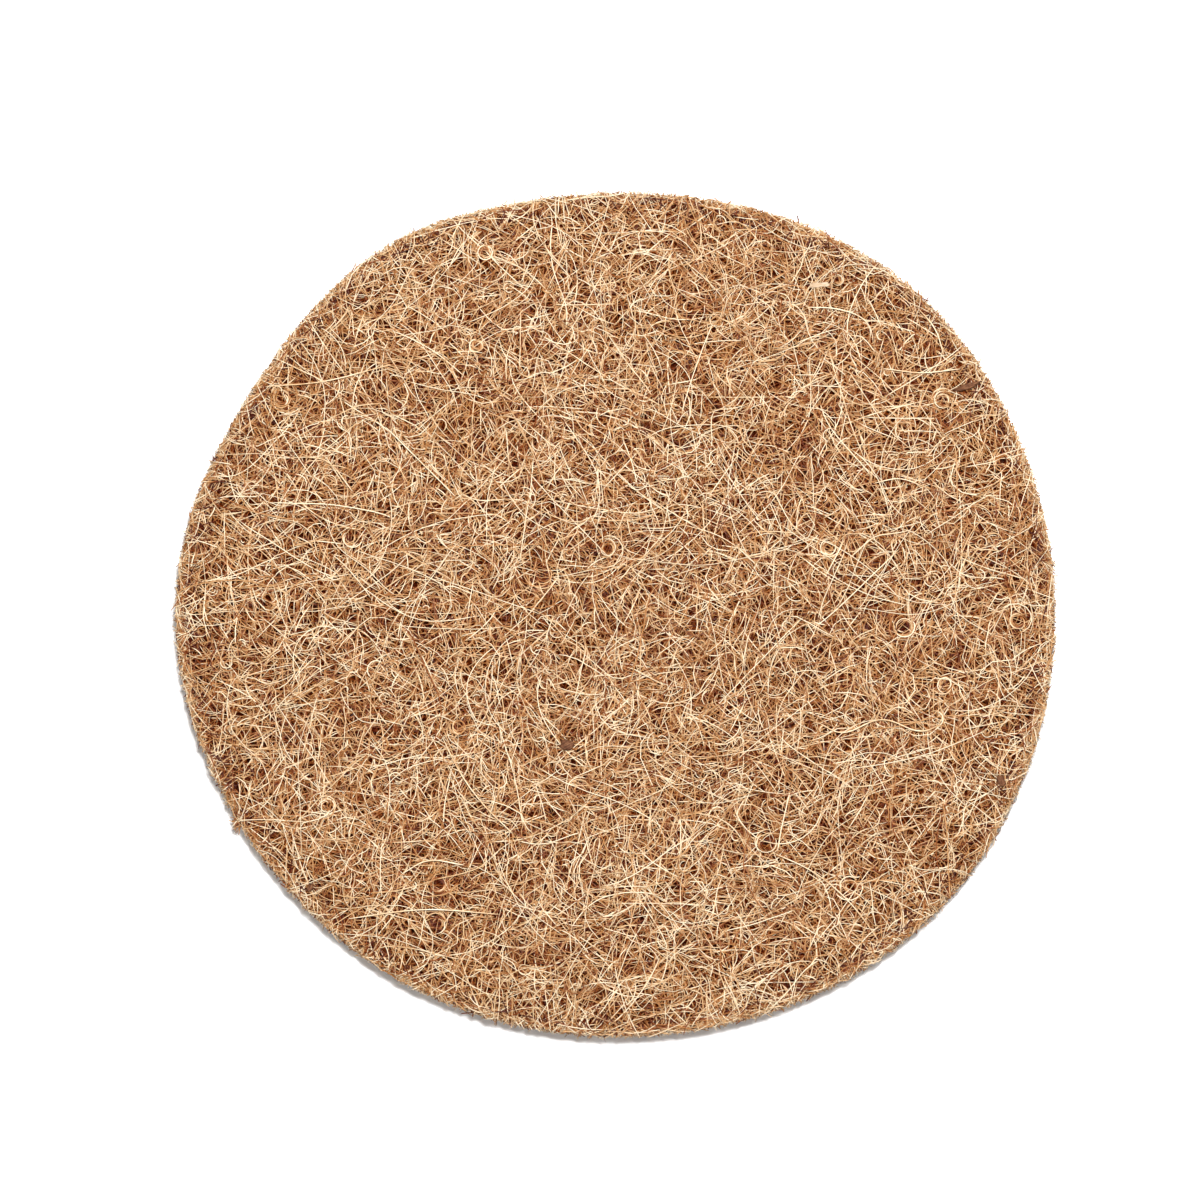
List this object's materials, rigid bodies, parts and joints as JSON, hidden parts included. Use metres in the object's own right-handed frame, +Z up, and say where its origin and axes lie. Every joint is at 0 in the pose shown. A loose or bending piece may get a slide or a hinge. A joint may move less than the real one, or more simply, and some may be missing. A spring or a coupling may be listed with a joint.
{
  "type": "coir felt mat",
  "caption": "Flat round mat of needle-punched coconut-fibre felt: cross-laid webs cut to an uneven circle, with loose long strands and bits of husk on top.",
  "frame": {"origin": "the middle of the underside, on the surface that the mat lies on", "axes": "+Z up through the mat's thickness, +X along its slightly wider direction"},
  "size_m": [0.1978, 0.1904, 0.0091],
  "materials": {
    "coir_felt": "matt tangled coconut fibre felt, golden tan with dark brown gaps",
    "coir_core": "matt coconut fibre felt, a little darker and denser than the faces",
    "coir_strand": "smooth pale golden coconut strand with a soft sheen",
    "husk": "rough dull grey-brown coconut husk",
    "pith": "papery pale grey pith"
  },
  "bodies": {
    "root": {"bottom_web": "coir_felt", "lower_cross_web": "coir_felt", "core_web": "coir_core", "upper_cross_web": "coir_felt", "top_web": "coir_felt", "surface_strand_01": "coir_strand", "surface_strand_02": "coir_strand", "surface_strand_03": "coir_strand", "surface_strand_04": "coir_strand", "surface_strand_05": "coir_strand", "surface_strand_06": "coir_strand", "surface_strand_07": "coir_strand", "surface_strand_08": "coir_strand", "surface_strand_09": "coir_strand", "surface_strand_10": "coir_strand", "surface_strand_11": "coir_strand", "surface_strand_12": "coir_strand", "husk_sliver": "husk", "husk_chip": "husk", "husk_scrap": "husk", "husk_crumb": "husk", "pith_flake": "pith"}
  },
  "joints": []
}
